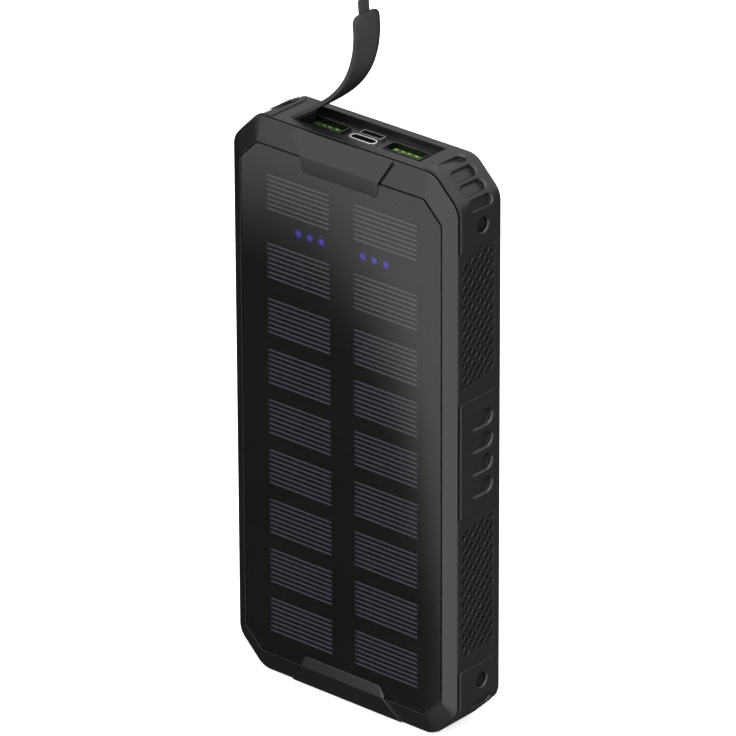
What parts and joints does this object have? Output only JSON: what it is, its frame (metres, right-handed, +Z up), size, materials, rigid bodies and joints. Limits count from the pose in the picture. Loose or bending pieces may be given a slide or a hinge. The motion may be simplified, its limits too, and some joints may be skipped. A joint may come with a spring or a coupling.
{
  "type": "solar phone charger",
  "caption": "Upright rugged solar power bank with a bevelled solar window, ribbed grips, a side button, four charging ports in a top recess and a hinged rubber port flap.",
  "frame": {"origin": "centre of the footprint on the plane the charger stands on", "axes": "+Z up along the long side towards the ports, +X to the right seen from the solar window, -Y out of the solar window"},
  "size_m": [0.0786, 0.0226, 0.2039],
  "materials": {
    "housing_plastic": "fine satin grain, slightly rubbery",
    "cover_plastic": "fine satin grain",
    "bezel_plastic": "satin",
    "window": "glossy dark-tinted resin",
    "solar_silicon": "dark silicon with light grid fingers",
    "black_laminate": "black back sheet",
    "seal_rubber": "matte",
    "led_blue": "lit blue-violet status lights",
    "black_steel": "black oxide",
    "grip_rubber": "matte with a cross-hatched knurl",
    "button_plastic": "satin",
    "switch_metal": "stamped",
    "circuit_board": "solder mask",
    "port_steel": "nickel-plated stamped steel",
    "tongue_green": "satin moulded",
    "tongue_black": "satin moulded",
    "contact_gold": "gold plated",
    "ferrite": "pressed ferrite",
    "chip_black": "moulded epoxy",
    "flex_lead": "polyimide flex",
    "pouch_foil": "satin laminated foil",
    "nickel": "plain strip",
    "foam": "closed-cell foam tape",
    "flap_rubber": "matte elastomer"
  },
  "bodies": {
    "case": {"housing": "housing_plastic", "rear_cover": "cover_plastic", "front_bezel": "bezel_plastic", "window_lens": "window", "solar_board": "black_laminate", "front_seal": "seal_rubber", "solar_cell_left_1": "solar_silicon", "solar_cell_left_2": "solar_silicon", "solar_cell_left_3": "solar_silicon", "solar_cell_left_4": "solar_silicon", "solar_cell_left_5": "solar_silicon", "solar_cell_left_6": "solar_silicon", "solar_cell_left_7": "solar_silicon", "solar_cell_left_8": "solar_silicon", "solar_cell_left_9": "solar_silicon", "solar_cell_right_1": "solar_silicon", "solar_cell_right_2": "solar_silicon", "solar_cell_right_3": "solar_silicon", "solar_cell_right_4": "solar_silicon", "solar_cell_right_5": "solar_silicon", "solar_cell_right_6": "solar_silicon", "solar_cell_right_7": "solar_silicon", "solar_cell_right_8": "solar_silicon", "solar_cell_right_9": "solar_silicon", "status_leds_left": "led_blue", "status_leds_right": "led_blue", "case_screws": "black_steel", "grip_left_upper": "grip_rubber", "grip_left_lower": "grip_rubber", "grip_right_upper": "grip_rubber", "grip_right_lower": "grip_rubber", "tact_switch": "switch_metal", "button_board": "circuit_board", "usb_a_shell_left": "port_steel", "usb_a_shell_right": "port_steel", "usb_a_tongue_left": "tongue_green", "usb_a_tongue_right": "tongue_green", "usb_a_contacts_left": "contact_gold", "usb_a_contacts_right": "contact_gold", "usb_c_shell": "port_steel", "usb_c_tongue": "tongue_black", "micro_usb_shell": "port_steel", "micro_usb_tongue": "tongue_black", "main_pcb": "circuit_board", "pcb_inductor": "ferrite", "pcb_controller": "chip_black", "solar_lead": "flex_lead", "battery_front": "pouch_foil", "battery_rear": "pouch_foil", "battery_tabs": "nickel", "battery_pad": "foam", "flap_anchor": "flap_rubber"},
    "button": {"power_button": "button_plastic"},
    "flap_1": {"flap_link_1": "flap_rubber"},
    "flap_2": {"flap_link_2": "flap_rubber"},
    "flap_3": {"flap_link_3": "flap_rubber"},
    "flap_4": {"flap_link_4": "flap_rubber"},
    "flap_5": {"flap_link_5": "flap_rubber"},
    "flap_6": {"flap_link_6": "flap_rubber"}
  },
  "joints": [
    {"name": "power_button_press", "type": "slide", "parent": "case", "child": "button", "axis": [1, 0, 0], "range_m": [0, 0.0006], "stiffness_N_per_m": 400},
    {"name": "flap_root", "type": "hinge", "parent": "case", "child": "flap_1", "pos_m": [-0.022, 0.001, 0.16575], "axis": [0, 1, 0], "range_deg": [-18, 33], "stiffness_Nm_per_rad": 0.01},
    {"name": "flap_bend_2", "type": "hinge", "parent": "flap_1", "child": "flap_2", "pos_m": [-0.01277, 0.001, 0.17174], "axis": [0, 1, 0], "range_deg": [-3.32, 6.02]},
    {"name": "flap_bend_3", "type": "hinge", "parent": "flap_2", "child": "flap_3", "pos_m": [-0.00733, 0.001, 0.17615], "axis": [0, 1, 0], "range_deg": [-7.14, 13.02]},
    {"name": "flap_bend_4", "type": "hinge", "parent": "flap_3", "child": "flap_4", "pos_m": [-0.00327, 0.001, 0.18135], "axis": [0, 1, 0], "range_deg": [-8.78, 16.02]},
    {"name": "flap_bend_5", "type": "hinge", "parent": "flap_4", "child": "flap_5", "pos_m": [-0.00087, 0.001, 0.18728], "axis": [0, 1, 0], "range_deg": [-7.14, 13.02]},
    {"name": "flap_bend_6", "type": "hinge", "parent": "flap_5", "child": "flap_6", "pos_m": [0.00013, 0.001, 0.1936], "axis": [0, 1, 0], "range_deg": [-7.69, 14.02]}
  ],
  "couplings": [
    {"joint": "flap_bend_2", "follows": "flap_root", "ratio": 0.18182},
    {"joint": "flap_bend_3", "follows": "flap_root", "ratio": 0.39394},
    {"joint": "flap_bend_4", "follows": "flap_root", "ratio": 0.48485},
    {"joint": "flap_bend_5", "follows": "flap_root", "ratio": 0.39394},
    {"joint": "flap_bend_6", "follows": "flap_root", "ratio": 0.42424}
  ]
}
